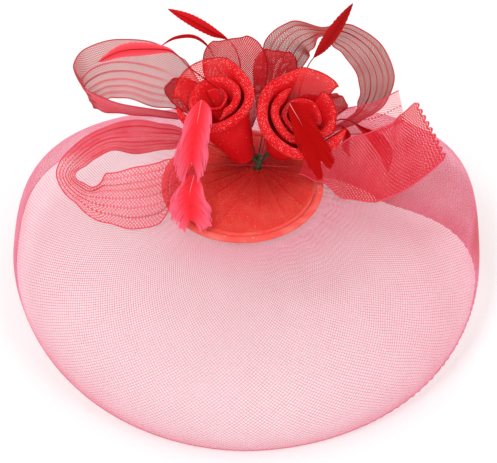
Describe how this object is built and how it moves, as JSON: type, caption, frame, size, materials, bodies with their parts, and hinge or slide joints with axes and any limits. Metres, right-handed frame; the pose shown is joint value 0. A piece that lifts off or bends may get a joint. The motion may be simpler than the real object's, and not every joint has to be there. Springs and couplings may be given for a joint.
{
  "type": "fascinator headpiece",
  "caption": "Crinoline fascinator with a domed mesh brim, rolled roses, ribbon loops, feathers and a sprung hair clip under a felt pad.",
  "frame": {"origin": "middle of the underside of the felt pad, where the headpiece rests on the head", "axes": "+Z away from the head, -Y towards the wearer's face, +X to the wearer's left"},
  "size_m": [0.3078, 0.2704, 0.1845],
  "materials": {
    "crin_pink": "open crinoline mesh, translucent, glossy thread",
    "crin_red": "close crinoline mesh with a metallic glint",
    "crin_ribbon": "pleated crinoline ribbon, translucent",
    "coral_fabric": "woven, satin",
    "coral_binding": "woven band with a glint",
    "feather": "dyed feather, soft",
    "felt": "matte felt",
    "stem_tape": "waxed crepe tape",
    "clip_steel": "nickel-plated steel"
  },
  "bodies": {
    "headpiece": {"brim": "crin_pink", "base_disc": "coral_fabric", "base_binding": "coral_binding", "base_cover": "crin_red", "felt_pad": "felt", "stem_wrap": "stem_tape", "left_rose_outer": "crin_red", "left_rose_middle": "crin_red", "left_rose_bud": "crin_red", "right_rose_outer": "crin_red", "right_rose_middle": "crin_red", "right_rose_inner": "crin_red", "right_rose_bud": "crin_red", "rear_petal_left": "crin_red", "rear_petal_right": "crin_red", "side_petal_left": "crin_red", "side_petal_right": "crin_red", "loop_left_upper": "crin_ribbon", "loop_left_lower": "crin_ribbon", "loop_right_upper": "crin_ribbon", "ribbon_right_front": "crin_ribbon", "ribbon_right_back": "crin_ribbon", "quill_left_top": "feather", "quill_left_middle": "feather", "quill_left_loop": "feather", "quill_right_top": "feather", "quill_right_side": "feather", "quill_right_small": "feather", "hackle_left_upper": "feather", "hackle_left_lower": "feather", "hackle_right": "feather", "clip_plate": "clip_steel", "clip_pin": "clip_steel", "clip_spring": "clip_steel"},
    "clip_jaw": {"clip_jaw": "clip_steel"}
  },
  "joints": [
    {"name": "clip_hinge", "type": "hinge", "parent": "headpiece", "child": "clip_jaw", "pos_m": [0.013, -0.015, -0.0046], "axis": [0, -1, 0], "range_deg": [0, 35], "stiffness_Nm_per_rad": 0.02, "springref_deg": -34.38}
  ]
}
